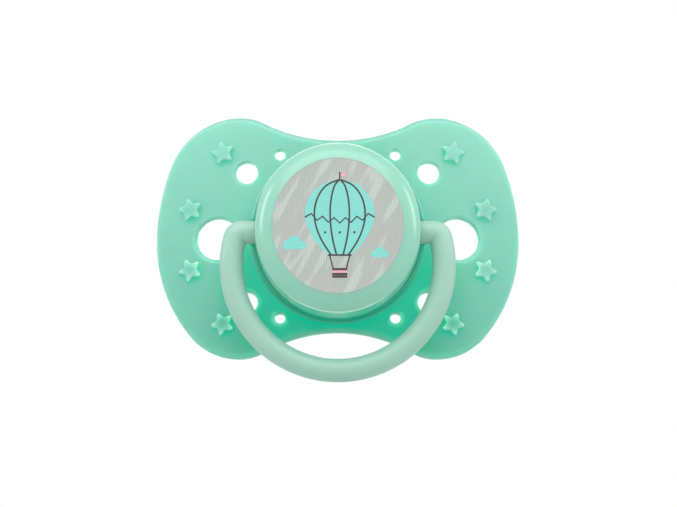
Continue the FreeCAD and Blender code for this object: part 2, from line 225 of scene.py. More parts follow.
class PictureSettings(bpy.types.PropertyGroup):
    """Colours and sizes of the film in the knob."""

    ground: colour("Ground", "Grey ground of the film", (0.450, 0.485, 0.445))
    ground_band: colour("Ground streaks", "Paler streaks on the ground", (0.520, 0.590, 0.540))
    turquoise: colour("Turquoise", "Ink of the balloon and the clouds", (0.225, 0.680, 0.610))
    ink: colour("Line ink", "Dark brown ink of the drawn lines", (0.035, 0.028, 0.028))
    pink: colour("Pink", "Ink of the pennant and the basket's band", (0.860, 0.400, 0.500))
    raster_pitch: length("Raster pitch", "Distance between two lines of the print's raster", 0.37 * MM)
    line_width: length("Line width", "Width of a drawn line", 0.26 * MM)
    balloon_radius: length("Balloon radius", "Radius of the balloon in the picture", 5.3 * MM)
    streak_width: length("Streak width", "Width of the soft streaks of the ground", 1.3 * MM)


class StageSettings(bpy.types.PropertyGroup):
    """Camera, lamps and floor."""

    view_angle: angle("View from below", "How far the camera looks up at the pacifier", 9.0)
    distance: length("Camera distance", "From the camera to the pacifier", 1.5)
    frame_width: length("Frame width", "Width of the picture at the pacifier", 103.7 * MM)
    aim_side: length("Aim to the side", "How far the camera aims beside the middle", 0.11 * MM)
    aim_drop: length("Aim below", "How far the camera aims below the shield's middle", 2.38 * MM)
    floor_size: length("Floor size", "Side of the square floor", 3.0)
    sky_strength: bpy.props.FloatProperty(
        name="Sky strength", description="Even light from all round", default=0.13, min=0.0)


SETTINGS = {
    "pacifier_plastic": PlasticSettings,
    "pacifier_silicone": SiliconeSettings,
    "pacifier_picture": PictureSettings,
    "pacifier_stage": StageSettings,
}


# ---- Node helpers ----
def add_node(tree, kind, place, **values):
    """A node of a kind at a place, its plain properties set."""
    node = tree.nodes.new(kind)
    node.location = place
    for name, value in values.items():
        setattr(node, name, value)
    return node


def set_inputs(node, **values):
    """Sets input sockets by name, with an underscore for each space."""
    for name, value in values.items():
        node.inputs[name.replace("_", " ")].default_value = value


def rgba(paint):
    """A colour with full alpha."""
    return (*paint, 1.0)


def connect(tree, *wires):
    """Links sockets: each wire gives a node, its output, the next node and that node's input."""
    for start, output, end, entry in wires:
        tree.links.new(start.outputs[output], end.inputs[entry])


def add_math(tree, place, operation, *numbers):
    """A node that calculates, its first inputs set to the numbers."""
    node = add_node(tree, "ShaderNodeMath", place, operation=operation)
    for socket, number in zip(node.inputs, numbers):
        socket.default_value = number
    return node


def add_ramp(tree, place, span=(0.0, 1.0), reached=(0.0, 1.0), smooth=False):
    """A node that maps one span of values to another."""
    kind = "SMOOTHSTEP" if smooth else "LINEAR"
    node = add_node(tree, "ShaderNodeMapRange", place, interpolation_type=kind)
    set_inputs(node, From_Min=span[0], From_Max=span[1], To_Min=reached[0], To_Max=reached[1])
    return node


def add_blend(tree, place, first=None, second=None, multiply=False):
    """A node that blends or multiplies two colours, each set here or linked later."""
    kind = "MULTIPLY" if multiply else "MIX"
    node = add_node(tree, "ShaderNodeMix", place, data_type="RGBA", blend_type=kind)
    if multiply:
        node.inputs["Factor"].default_value = 1.0
    for socket, paint in ((FIRST, first), (SECOND, second)):
        if paint is not None:
            node.inputs[socket].default_value = rgba(paint)
    return node


def new_group(name, inputs, outputs):
    """An empty node group with named sockets, its input node and its output node."""
    group = bpy.data.node_groups.new(name, "ShaderNodeTree")
    for label, kind, default in inputs:
        socket = group.interface.new_socket(name=label, in_out="INPUT", socket_type=kind)
        if default is not None:
            socket.default_value = default
    for label, kind in outputs:
        group.interface.new_socket(name=label, in_out="OUTPUT", socket_type=kind)
    source = add_node(group, "NodeGroupInput", (-900, 0))
    sink = add_node(group, "NodeGroupOutput", (900, 0))
    return group, source, sink


def place_group(tree, group, place, **values):
    """A node group placed in a material with its own values."""
    node = add_node(tree, "ShaderNodeGroup", place, node_tree=group)
    set_inputs(node, **values)
    return node


def new_material(name):
    """A material with an empty shader, and its tree."""
    material = bpy.data.materials.new(name)
    material.use_nodes = True
    tree = material.node_tree
    tree.nodes.clear()
    output = add_node(tree, "ShaderNodeOutputMaterial", (900, 0))
    shader = add_node(tree, "ShaderNodeBsdfPrincipled", (500, 0))
    connect(tree, (shader, "BSDF", output, "Surface"))
    return material, tree, shader


# ---- Effects that several materials share ----
def moulded_plastic_group():
    """Faint clouds in the colour, a satin sheen that wanders and a fine grain."""
    name = "moulded plastic"
    if name in bpy.data.node_groups:
        return bpy.data.node_groups[name]
    group, source, sink = new_group(
        name,
        [("Clear", "NodeSocketColor", rgba(WHITE)), ("Cloudy", "NodeSocketColor", rgba(WHITE)),
         ("Cloud Size", "NodeSocketFloat", 0.009), ("Grain Size", "NodeSocketFloat", 0.00035),
         ("Smooth", "NodeSocketFloat", 0.30), ("Rough", "NodeSocketFloat", 0.40)],
        [("Color", "NodeSocketColor"), ("Roughness", "NodeSocketFloat"), ("Height", "NodeSocketFloat")])
    place = add_node(group, "ShaderNodeTexCoord", (-900, -300))
    cloud_scale = add_math(group, (-700, 200), "DIVIDE", 1.0)
    grain_scale = add_math(group, (-700, -200), "DIVIDE", 1.0)
    clouds = add_node(group, "ShaderNodeTexNoise", (-450, 200))
    set_inputs(clouds, Detail=3.0, Roughness=0.55)
    grain = add_node(group, "ShaderNodeTexNoise", (-450, -200))
    set_inputs(grain, Detail=2.0, Roughness=0.5)
    blend = add_blend(group, (200, 200))
    sheen = add_ramp(group, (200, -50))
    connect(
        group,
        (source, "Cloud Size", cloud_scale, 1),
        (source, "Grain Size", grain_scale, 1),
        (cloud_scale, 0, clouds, "Scale"),
        (grain_scale, 0, grain, "Scale"),
        (place, "Object", clouds, "Vector"),
        (place, "Object", grain, "Vector"),
        (clouds, "Fac", blend, "Factor"),
        (source, "Clear", blend, FIRST),
        (source, "Cloudy", blend, SECOND),
        (clouds, "Fac", sheen, "Value"),
        (source, "Smooth", sheen, "To Min"),
        (source, "Rough", sheen, "To Max"),
        (blend, RESULT, sink, "Color"),
        (sheen, "Result", sink, "Roughness"),
        (grain, "Fac", sink, "Height"))
    return group


def sheltered_group():
    """Masks from 0 to 1 for painted shade, painted glow and painted halo: where a surface is sheltered from
    light above and in front, and near its edges.
    """
    name = "sheltered from above"
    if name in bpy.data.node_groups:
        return bpy.data.node_groups[name]
    group, source, sink = new_group(
        name,
        [("Reach", "NodeSocketFloat", 0.009), ("Lean", "NodeSocketFloat", 1.0),
         ("Open", "NodeSocketFloat", 0.85), ("Closed", "NodeSocketFloat", 0.35),
         ("Under", "NodeSocketFloat", 0.0), ("Under Start", "NodeSocketFloat", -0.1),
         ("Under End", "NodeSocketFloat", -0.6), ("Halo Reach", "NodeSocketFloat", 0.0013)],
        [("Mask", "NodeSocketFloat"), ("Deep", "NodeSocketFloat"), ("Halo", "NodeSocketFloat")])
    surface = add_node(group, "ShaderNodeNewGeometry", (-700, 200))
    facing = add_node(group, "ShaderNodeSeparateXYZ", (-1000, -100))
    fading = add_ramp(group, (-850, -100), LEAN_SLOPES)
    upward = add_node(group, "ShaderNodeCombineXYZ", (-650, -100))
    leaned = add_node(group, "ShaderNodeVectorMath", (-450, 100), operation="ADD")
    unit = add_node(group, "ShaderNodeVectorMath", (-250, 100), operation="NORMALIZE")
    openness = add_node(group, "ShaderNodeAmbientOcclusion", (0, 100), samples=SHELTER_SAMPLES)
    mask = add_ramp(group, (300, 100), smooth=True)
    under = add_ramp(group, (300, -200))
    deep = add_ramp(group, (300, -500), DEEP_OPENNESS)
    upright = add_ramp(group, (300, 400), UPRIGHT_SLOPES)
    kept = add_math(group, (450, 200), "MULTIPLY")
    inward = add_node(group, "ShaderNodeAmbientOcclusion", (0, -700), samples=SHELTER_SAMPLES, inside=True)
    halo = add_ramp(group, (300, -750), HALO_OPENNESS)
    either = add_math(group, (600, 0), "MAXIMUM")
    connect(
        group,
        (surface, "Normal", facing, "Vector"),
        (facing, "Z", fading, "Value"),
        (source, "Lean", fading, "To Max"),
        (fading, "Result", upward, "Z"),
        (surface, "Normal", leaned, 0),
        (upward, "Vector", leaned, 1),
        (leaned, "Vector", unit, 0),
        (unit, "Vector", openness, "Normal"),
        (source, "Reach", openness, "Distance"),
        (openness, "AO", mask, "Value"),
        (source, "Open", mask, "From Min"),
        (source, "Closed", mask, "From Max"),
        (facing, "Z", under, "Value"),
        (source, "Under Start", under, "From Min"),
        (source, "Under End", under, "From Max"),
        (source, "Under", under, "To Max"),
        (facing, "Z", upright, "Value"),
        (mask, "Result", kept, 0),
        (upright, "Result", kept, 1),
        (kept, 0, either, 0),
        (under, "Result", either, 1),
        (either, 0, sink, "Mask"),
        (openness, "AO", deep, "Value"),
        (deep, "Result", sink, "Deep"),
        (source, "Halo Reach", inward, "Distance"),
        (inward, "AO", halo, "Value"),
        (halo, "Result", sink, "Halo"))
    return group


def print_raster_group():
    """Fine slanted lines of a print, as a mask from 0 to 1."""
    name = "print raster"
    if name in bpy.data.node_groups:
        return bpy.data.node_groups[name]
    group, source, sink = new_group(
        name,
        [("Pitch", "NodeSocketFloat", 0.0003), ("Slant", "NodeSocketFloat", 0.0),
         ("Waver", "NodeSocketFloat", 0.3)],
        [("Mask", "NodeSocketFloat")])
    place = add_node(group, "ShaderNodeTexCoord", (-900, -300))
    turn = add_node(group, "ShaderNodeVectorRotate", (-650, -200), rotation_type="Y_AXIS")
    split = add_node(group, "ShaderNodeSeparateXYZ", (-450, -200))
    waver = add_node(group, "ShaderNodeTexNoise", (-650, 150))
    set_inputs(waver, Scale=900.0, Detail=1.0)
    waver_size = add_math(group, (-450, 150), "MULTIPLY")
    lines = add_math(group, (-250, -100), "DIVIDE")
    wavy = add_math(group, (-80, 0), "ADD")
    turns = add_math(group, (80, 0), "MULTIPLY", 0.5, 2.0 * math.pi)
    wave = add_math(group, (240, 0), "SINE")
    mask = add_ramp(group, (420, 0), (-1.0, 1.0))
    connect(
        group,
        (place, "Object", turn, "Vector"),
        (source, "Slant", turn, "Angle"),
        (turn, "Vector", split, "Vector"),
        (split, "X", lines, 0),
        (source, "Pitch", lines, 1),
        (place, "Object", waver, "Vector"),
        (waver, "Fac", waver_size, 0),
        (source, "Waver", waver_size, 1),
        (lines, 0, wavy, 0),
        (waver_size, 0, wavy, 1),
        (wavy, 0, turns, 0),
        (turns, 0, wave, 0),
        (wave, 0, mask, "Value"),
        (mask, "Result", sink, "Mask"))
    return group


def axis_distance_group():
    """Distance of a point from the axis of the knob, and its depth and height."""
    name = "distance from the axis"
    if name in bpy.data.node_groups:
        return bpy.data.node_groups[name]
    group, source, sink = new_group(
        name, [("Stretch", "NodeSocketFloat", 1.0)],
        [("Distance", "NodeSocketFloat"), ("Depth", "NodeSocketFloat"), ("Height", "NodeSocketFloat")])
    place = add_node(group, "ShaderNodeTexCoord", (-900, -300))
    split = add_node(group, "ShaderNodeSeparateXYZ", (-600, -100))
    squeezed = add_math(group, (-450, -200), "DIVIDE")
    flat = add_node(group, "ShaderNodeCombineXYZ", (-300, 0))
    reach = add_node(group, "ShaderNodeVectorMath", (0, 0), operation="LENGTH")
    connect(
        group,
        (place, "Object", split, "Vector"),
        (split, "X", flat, "X"),
        (split, "Z", squeezed, 0),
        (source, "Stretch", squeezed, 1),
        (squeezed, 0, flat, "Z"),
        (flat, "Vector", reach, 0),
        (reach, "Value", sink, "Distance"),
        (split, "Y", sink, "Depth"),
        (split, "Z", sink, "Height"))
    return group


def round_edge_group():
    """Mask from 0 to 1 for a painted highlight: a thin line along a circle round the axis of the knob."""
    name = "round edge"
    if name in bpy.data.node_groups:
        return bpy.data.node_groups[name]
    group, source, sink = new_group(
        name,
        [("Stretch", "NodeSocketFloat", 1.0), ("Radius", "NodeSocketFloat", 0.0125),
         ("Depth", "NodeSocketFloat", -0.01), ("Width", "NodeSocketFloat", 0.0003)],
        [("Mask", "NodeSocketFloat")])
    axis = place_group(group, axis_distance_group(), (-500, -200))
    connect(group, (source, "Stretch", axis, "Stretch"))
    off_radius = add_math(group, (-100, 0), "SUBTRACT")
    off_depth = add_math(group, (-100, -200), "SUBTRACT")
    offset = add_node(group, "ShaderNodeCombineXYZ", (100, -100))
    away = add_node(group, "ShaderNodeVectorMath", (300, -100), operation="LENGTH")
    mask = add_ramp(group, (500, 0), reached=(1.0, 0.0), smooth=True)
    upper = add_ramp(group, (100, -350), EDGE_UPPER_HEIGHTS)
    lower = add_ramp(group, (100, -600), EDGE_LOWER_HEIGHTS, (0.0, EDGE_LOWER_SHARE))
    either = add_math(group, (350, -450), "MAXIMUM")
    faded = add_math(group, (700, 0), "MULTIPLY")
    connect(
        group,
        (axis, "Distance", off_radius, 0),
        (source, "Radius", off_radius, 1),
        (axis, "Depth", off_depth, 0),
        (source, "Depth", off_depth, 1),
        (off_radius, 0, offset, "X"),
        (off_depth, 0, offset, "Y"),
        (offset, "Vector", away, 0),
        (away, "Value", mask, "Value"),
        (source, "Width", mask, "From Max"),
        (axis, "Height", upper, "Value"),
        (axis, "Height", lower, "Value"),
        (upper, "Result", either, 0),
        (lower, "Result", either, 1),
        (mask, "Result", faded, 0),
        (either, 0, faded, 1),
        (faded, 0, sink, "Mask"))
    return group


# ---- Materials ----
def add_painted_shade_and_glow(tree, shader, settings, finish):
    """Painted green shade, and a painted glow given off as emission, where a piece is sheltered; gives the
    nodes of both.
    """
    weight, start, end = finish["under"]
    sheltered = place_group(
        tree, sheltered_group(), (-100, 400), Reach=settings.shelter_reach, Lean=1.0,
        Open=finish["open"], Closed=finish["closed"], Under=weight, Under_Start=start, Under_End=end,
        Halo_Reach=settings.halo_reach)
    painted_shade = add_blend(tree, (250, 200), second=settings.painted_shade_colour)
    # Painted glow, given off as emission where the piece is sheltered.
    painted_glow_light = [finish["share"] * part for part in settings.painted_glow_colour]
    through = add_blend(tree, (250, 600), BLACK, painted_glow_light)
    shader.inputs["Emission Strength"].default_value = 1.0
    connect(
        tree,
        (sheltered, finish["through"], through, "Factor"),
        (through, RESULT, shader, "Emission Color"))
    return sheltered, painted_shade


def add_painted_halo_and_shade(tree, settings, share, effect, sheltered, painted_shade):
    """Paints shade on the plastic, darker towards the bottom and on faces that look up, and paints a pale
    halo along its edges; gives the node with the result.
    """
    axis = place_group(tree, axis_distance_group(), (-400, 900), Stretch=1.0)
    beyond = add_ramp(tree, (-100, 900), HALO_RADII, (0.0, share))
    trimmed = add_math(tree, (200, 800), "MULTIPLY")
    # Painted halo, with a paler crest along the upper edges.
    fade = add_ramp(tree, (-100, 750), CREST_HEIGHTS)
    rim = add_blend(tree, (300, 750), settings.painted_halo_colour, settings.painted_crest_colour)
    # Painted shade, darker towards the bottom.
    rise = add_ramp(tree, (-100, 1200), SHADE_GRADIENT_HEIGHTS)
    tint = add_blend(tree, (100, 1200), settings.shade_gradient_bottom, settings.shade_gradient_top)
    graded = add_blend(tree, (100, 500), multiply=True)
    # Painted shade on the faces that look up.
    surface = add_node(tree, "ShaderNodeNewGeometry", (-700, 1500))
    slope = add_node(tree, "ShaderNodeSeparateXYZ", (-500, 1500))
    topside = add_ramp(tree, (-300, 1500), TOPSIDE_SLOPES)
    topside_shaded = add_blend(tree, (200, 1350), second=settings.topside_shade_tint, multiply=True)
    lifted = add_ramp(tree, (-100, 1050), SHADE_HEIGHTS, (1.0, UPPER_SHADE))
    held = add_math(tree, (100, 1050), "MULTIPLY")
    pale = add_blend(tree, (400, 600))
    connect(
        tree,
        (axis, "Distance", beyond, "Value"),
        (sheltered, "Halo", trimmed, 0),
        (beyond, "Result", trimmed, 1),
        (axis, "Height", rise, "Value"),
        (rise, "Result", tint, "Factor"),
        (surface, "Normal", slope, "Vector"),
        (slope, "Z", topside, "Value"),
        (topside, "Result", topside_shaded, "Factor"),
        (tint, RESULT, topside_shaded, FIRST),
        (effect, "Color", graded, FIRST),
        (topside_shaded, RESULT, graded, SECOND),
        (axis, "Height", lifted, "Value"),
        (sheltered, "Mask", held, 0),
        (lifted, "Result", held, 1),
        (held, 0, painted_shade, "Factor"),
        (graded, RESULT, painted_shade, FIRST),
        (axis, "Height", fade, "Value"),
        (fade, "Result", rim, "Factor"),
        (trimmed, 0, pale, "Factor"),
        (painted_shade, RESULT, pale, FIRST),
        (rim, RESULT, pale, SECOND))
    return pale


def add_edge_highlight(tree, settings, painted_shade):
    """Painted highlight: a pale line along the cap's edge; gives the node with the result."""
    line = place_group(
        tree, round_edge_group(), (0, 650), Stretch=settings.cap_stretch, Radius=settings.edge_radius,
        Depth=settings.edge_depth, Width=settings.edge_width)
    edge_highlighted = add_blend(tree, (400, 400), second=settings.painted_edge_highlight)
    connect(
        tree,
        (line, "Mask", edge_highlighted, "Factor"),
        (painted_shade, RESULT, edge_highlighted, FIRST))
    return edge_highlighted


def plastic_material(name, clear, cloudy, finish):
    """Slightly translucent moulded plastic, with painted shade and painted glow where it is sheltered, and,
    by its finish, a painted halo or a painted highlight on its edge.
    """
    settings = bpy.context.scene.pacifier_plastic
    material, tree, shader = new_material(name)
    effect = place_group(
        tree, moulded_plastic_group(), (-100, 100), Clear=rgba(clear), Cloudy=rgba(cloudy),
        Cloud_Size=settings.cloud_size, Grain_Size=settings.grain_size,
        Smooth=finish["smooth"], Rough=finish["rough"])
    bump = add_node(tree, "ShaderNodeBump", (200, -200))
    set_inputs(bump, Strength=GRAIN_STRENGTH, Distance=GRAIN_HEIGHT)
    set_inputs(shader, Subsurface_Weight=finish["translucency"], Subsurface_Radius=finish["reach"],
               Subsurface_Scale=finish["depth"], Subsurface_Anisotropy=0.0, IOR=PLASTIC_IOR,
               Specular_IOR_Level=finish["gloss"], Coat_Weight=finish["coat"], Coat_Roughness=0.12)
    paint = (effect, "Color")
    if "under" in finish:
        sheltered, painted_shade = add_painted_shade_and_glow(tree, shader, settings, finish)
        if "halo" in finish:
            paint = (add_painted_halo_and_shade(tree, settings, finish["halo"], effect, sheltered, painted_shade), RESULT)
        else:
            connect(
                tree,
                (sheltered, "Mask", painted_shade, "Factor"),
                (effect, "Color", painted_shade, FIRST))
            paint = (add_edge_highlight(tree, settings, painted_shade), RESULT)
    connect(
        tree,
        (*paint, shader, "Base Color"),
        (effect, "Roughness", shader, "Roughness"),
        (effect, "Height", bump, "Height"),
        (bump, "Normal", shader, "Normal"))
    return material


def silicone_material():
    """Clear, slightly milky silicone."""
    settings = bpy.context.scene.pacifier_silicone
    material, tree, shader = new_material("clear silicone")
    milky = [0.93 * part for part in settings.colour]
    effect = place_group(
        tree, moulded_plastic_group(), (-100, 100), Clear=rgba(settings.colour), Cloudy=rgba(milky),
        Cloud_Size=6 * MM, Grain_Size=0.2 * MM, Smooth=0.10, Rough=0.18)
    set_inputs(shader, Transmission_Weight=0.82, IOR=SILICONE_IOR)
    connect(
        tree,
        (effect, "Color", shader, "Base Color"),
        (effect, "Roughness", shader, "Roughness"))
    return material


def film_material():
    """Grey film with soft paler streaks and the fine upright lines of its print."""
    settings = bpy.context.scene.pacifier_picture
    material, tree, shader = new_material("printed film")
    place = add_node(tree, "ShaderNodeTexCoord", (-1050, 200))
    slanted = add_node(tree, "ShaderNodeVectorRotate", (-850, 200), rotation_type="Y_AXIS")
    slanted.inputs["Angle"].default_value = STREAK_SLANT
    drawn = add_node(tree, "ShaderNodeMapping", (-680, 200))
    set_inputs(drawn, Scale=(1.0, 1.0, STREAK_SQUEEZE))
    streaks = add_node(tree, "ShaderNodeTexNoise", (-500, 200))
    set_inputs(streaks, Scale=1.0 / settings.streak_width, Detail=1.0, Roughness=0.4)
    band = add_ramp(tree, (-300, 200), STREAK_LEVELS, smooth=True)
    paint = add_blend(tree, (-50, 200), settings.ground, settings.ground_band)
    raster = place_group(
        tree, print_raster_group(), (-300, -100), Pitch=settings.raster_pitch, Slant=0.05, Waver=0.35)
    tint = add_ramp(tree, (-50, -100), reached=RASTER_SHADES)
    shade = add_blend(tree, (200, 100), multiply=True)
    connect(
        tree,
        (place, "Object", slanted, "Vector"),
        (slanted, "Vector", drawn, "Vector"),
        (drawn, "Vector", streaks, "Vector"),
        (streaks, "Fac", band, "Value"),
        (band, "Result", paint, "Factor"),
        (raster, "Mask", tint, "Value"),
        (paint, RESULT, shade, FIRST),
        (tint, "Result", shade, SECOND),
        (shade, RESULT, shader, "Base Color"))
    set_inputs(shader, Roughness=0.42, Coat_Weight=0.25, Coat_Roughness=0.2)
    return material


def ink_material(name, paint, strength, slant):
    """Flat ink broken up by the print's raster."""
    settings = bpy.context.scene.pacifier_picture
    material, tree, shader = new_material(name)
    raster = place_group(
        tree, print_raster_group(), (-300, 0), Pitch=settings.raster_pitch, Slant=slant, Waver=0.25)
    darker = [part * (1.0 - strength) for part in paint]
    paler = [min(1.0, part * (1.0 + strength)) for part in paint]
    blend = add_blend(tree, (0, 0), darker, paler)
    connect(
        tree,
        (raster, "Mask", blend, "Factor"),
        (blend, RESULT, shader, "Base Color"))
    set_inputs(shader, Roughness=0.42, Coat_Weight=0.25, Coat_Roughness=0.2)
    return material


# ---- Mesh helpers ----
def finished(name, shape, materials, smooth=True):
    """An object from a bmesh, at the origin, with its place in its mesh."""
    mesh = bpy.data.meshes.new(name)
    shape.to_mesh(mesh)
    shape.free()
    for material in materials:
        mesh.materials.append(material)
    if smooth:
        mesh.shade_smooth()
    piece = bpy.data.objects.new(name, mesh)
    bpy.context.scene.collection.objects.link(piece)
    return piece


def facing_front(centre_x, centre_z, depth):
    """Places a shape drawn in XY on the knob's face, seen from the front."""
    return Matrix.Translation((centre_x, depth, centre_z)) @ Matrix.Rotation(math.radians(90), 4, "X")


def ink_disc(shape, centre, radius, depth, squeeze=1.0, segments=32):
    """A filled round or oval spot of ink."""
    place = facing_front(centre[0], centre[1], depth) @ Matrix.Diagonal((squeeze, 1.0, 1.0, 1.0))
    spot = bmesh.ops.create_circle(shape, cap_ends=True, segments=segments, radius=radius, matrix=place)
    return spot["verts"]


def ink_line(shape, points, width, depth, smooth=True):
    """A drawn line with round ends: a flattened tube along a spline through a few points."""
    curve = bpy.data.curves.new("line", "CURVE")
    curve.dimensions = "3D"
    curve.resolution_u = 10
    curve.bevel_depth = width / 2.0
    curve.bevel_resolution = 2
    curve.use_fill_caps = True
    spline = curve.splines.new("NURBS" if smooth else "POLY")
    spline.points.add(len(points) - 1)
    for point, (x, z) in zip(spline.points, points):
        point.co = (x, 0.0, z, 1.0)
    if smooth:
        spline.order_u = 3
        spline.use_endpoint_u = True
    drawn = bpy.data.objects.new("line", curve)
    mesh = bpy.data.meshes.new_from_object(drawn)
    mesh.transform(Matrix.Translation((0.0, depth, 0.0)) @ Matrix.Diagonal((1.0, INK_FLATNESS, 1.0, 1.0)))
    shape.from_mesh(mesh)
    bpy.data.objects.remove(drawn)
    bpy.data.curves.remove(curve)
    bpy.data.meshes.remove(mesh)
    for end in (points[0], points[-1]):
        ink_disc(shape, end, width / 2.0, depth - width / 2.0 * INK_FLATNESS, segments=12)


# ---- Pieces ----
def eased(place, start, end):
    """Smooth step from 0 to 1 between two depths."""
    part = min(max((place - start) / (end - start), 0.0), 1.0)
    return part * part * (3.0 - 2.0 * part)


def teat_half(depth, bulb, settings):
    """Half width or half height of the teat at a depth."""
    neck_end, waist_at, bulb_at = 2.5 * MM, 9 * MM, 21 * MM
    tip = TEAT_BOX[1].y
    if depth > bulb_at:
        part = min((depth - bulb_at) / (tip - bulb_at), 1.0)
        return bulb * math.sqrt(max(1.0 - part * part, 0.0))
    taper = settings.waist_radius - settings.neck_radius
    waist = settings.neck_radius + taper * eased(depth, neck_end, waist_at)
    return waist + (bulb - waist) * eased(depth, waist_at, bulb_at)


def build_teat():
    """Hollow teat: rings drawn out from the flange to the nose, then given their wall."""
    settings = bpy.context.scene.pacifier_silicone
    front, tip = TEAT_BOX[0].y, TEAT_BOX[1].y
    shape = bmesh.new()
    upright = Matrix.Translation((0, front, 0)) @ Matrix.Rotation(math.radians(-90), 4, "X")
    bmesh.ops.create_circle(shape, segments=40, radius=settings.flange_radius, matrix=upright)
    edges = list(shape.edges)
    edge, root = 0.12 * MM, 0.25 * MM
    back = front + settings.flange_thickness
    rounds = ((front + edge, settings.flange_radius), (back - edge, settings.flange_radius),
              (back, settings.flange_radius - 0.15 * MM), (back, settings.neck_radius + root),
              (back + root, settings.neck_radius))
    stations = [(depth, radius, radius) for depth, radius in rounds]
    steps = 26
    start = 0.6 * MM
    for index in range(steps):
        depth = start + (tip - start) * math.sin(math.pi / 2.0 * index / steps)
        stations.append((depth, teat_half(depth, settings.bulb_half_width, settings),
                         teat_half(depth, settings.bulb_half_height, settings)))
    half_x = half_z = settings.flange_radius
    place = front
    for depth, wide, tall in stations:
        grown = bmesh.ops.extrude_edge_only(shape, edges=edges)["geom"]
        ring = [item for item in grown if isinstance(item, bmesh.types.BMVert)]
        edges = [item for item in grown if isinstance(item, bmesh.types.BMEdge)]
        bmesh.ops.scale(shape, vec=(wide / half_x, 1.0, tall / half_z), verts=ring)
        bmesh.ops.translate(shape, vec=(0.0, depth - place, 0.0), verts=ring)
        half_x, half_z, place = wide, tall, depth
    bmesh.ops.edgeloop_fill(shape, edges=edges)
    nose = [face for face in shape.faces if len(face.verts) > 4]
    poked = bmesh.ops.poke(shape, faces=nose)
    bmesh.ops.translate(shape, vec=(0.0, tip - place, 0.0), verts=poked["verts"])
    bmesh.ops.recalc_face_normals(shape, faces=shape.faces)
    teat = finished("silicone_teat", shape, [silicone_material()])
    wall = teat.modifiers.new("wall", "SOLIDIFY")
    wall.thickness = settings.wall
    wall.offset = -1.0
    wall.use_even_offset = True
    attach(teat, KNOB_BODY)
    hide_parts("teat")


def build_cap(material, stretch):
    """The domed cap, a little taller than it is wide."""
    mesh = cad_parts["knob_cap"].data.copy()
    mesh.transform(Matrix.Scale(stretch, 4, (0.0, 0.0, 1.0)))
    mesh.materials.clear()
    mesh.materials.append(material)
    cap = bpy.data.objects.new("domed_cap", mesh)
    bpy.context.scene.collection.objects.link(cap)
    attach(cap, KNOB_BODY)
    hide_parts("knob_cap")


def build_film():
    """The round film, its edge rounded over, just inside the cap's rim."""
    shape = bmesh.new()
    place = facing_front(0.0, 0.0, FILM_FACE + FILM_INSET)
    bmesh.ops.create_circle(shape, cap_ends=True, segments=128, radius=FILM_RADIUS, matrix=place)
    face = list(shape.faces)
    drawn = bmesh.ops.extrude_face_region(shape, geom=face)["geom"]
    back = [item for item in drawn if isinstance(item, bmesh.types.BMVert)]
    bmesh.ops.translate(shape, vec=(0.0, FILM_BACK - FILM_FACE - FILM_INSET, 0.0), verts=back)
    bmesh.ops.recalc_face_normals(shape, faces=shape.faces)
    level = FILM_FACE + FILM_INSET
    rim = [edge for edge in shape.edges if all(abs(vert.co.y - level) < 0.001 * MM for vert in edge.verts)]
    bmesh.ops.bevel(shape, geom=rim, offset=0.01 * MM, affect="EDGES", segments=2, profile=0.5, material=-1)
    stretch = bpy.context.scene.pacifier_plastic.cap_stretch
    bmesh.ops.scale(shape, vec=(1.0, 1.0, stretch), verts=shape.verts)
    film = finished("picture_film", shape, [film_material()], smooth=False)
    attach(film, KNOB_BODY)
    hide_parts("picture_disc")


def draw_cloud(fill, centre, size, depth):
    """A small cloud of three round lobes."""
    lobes = ((-0.95, 0.0, 0.62), (0.0, 0.32, 0.92), (0.98, -0.02, 0.58))
    for index, (x, z, radius) in enumerate(lobes):
        middle = (centre[0] + x * size, centre[1] + z * size)
        ink_disc(fill, middle, radius * size, depth - index * 0.0015 * MM)


def balloon_point(across, up, radius):
    """A point of a circle drawn out to the pear shape of a balloon."""
    below = max(0.0, -up / radius)
    return across * (1.0 - 0.20 * below * below), up * (1.0 + 0.30 * below)


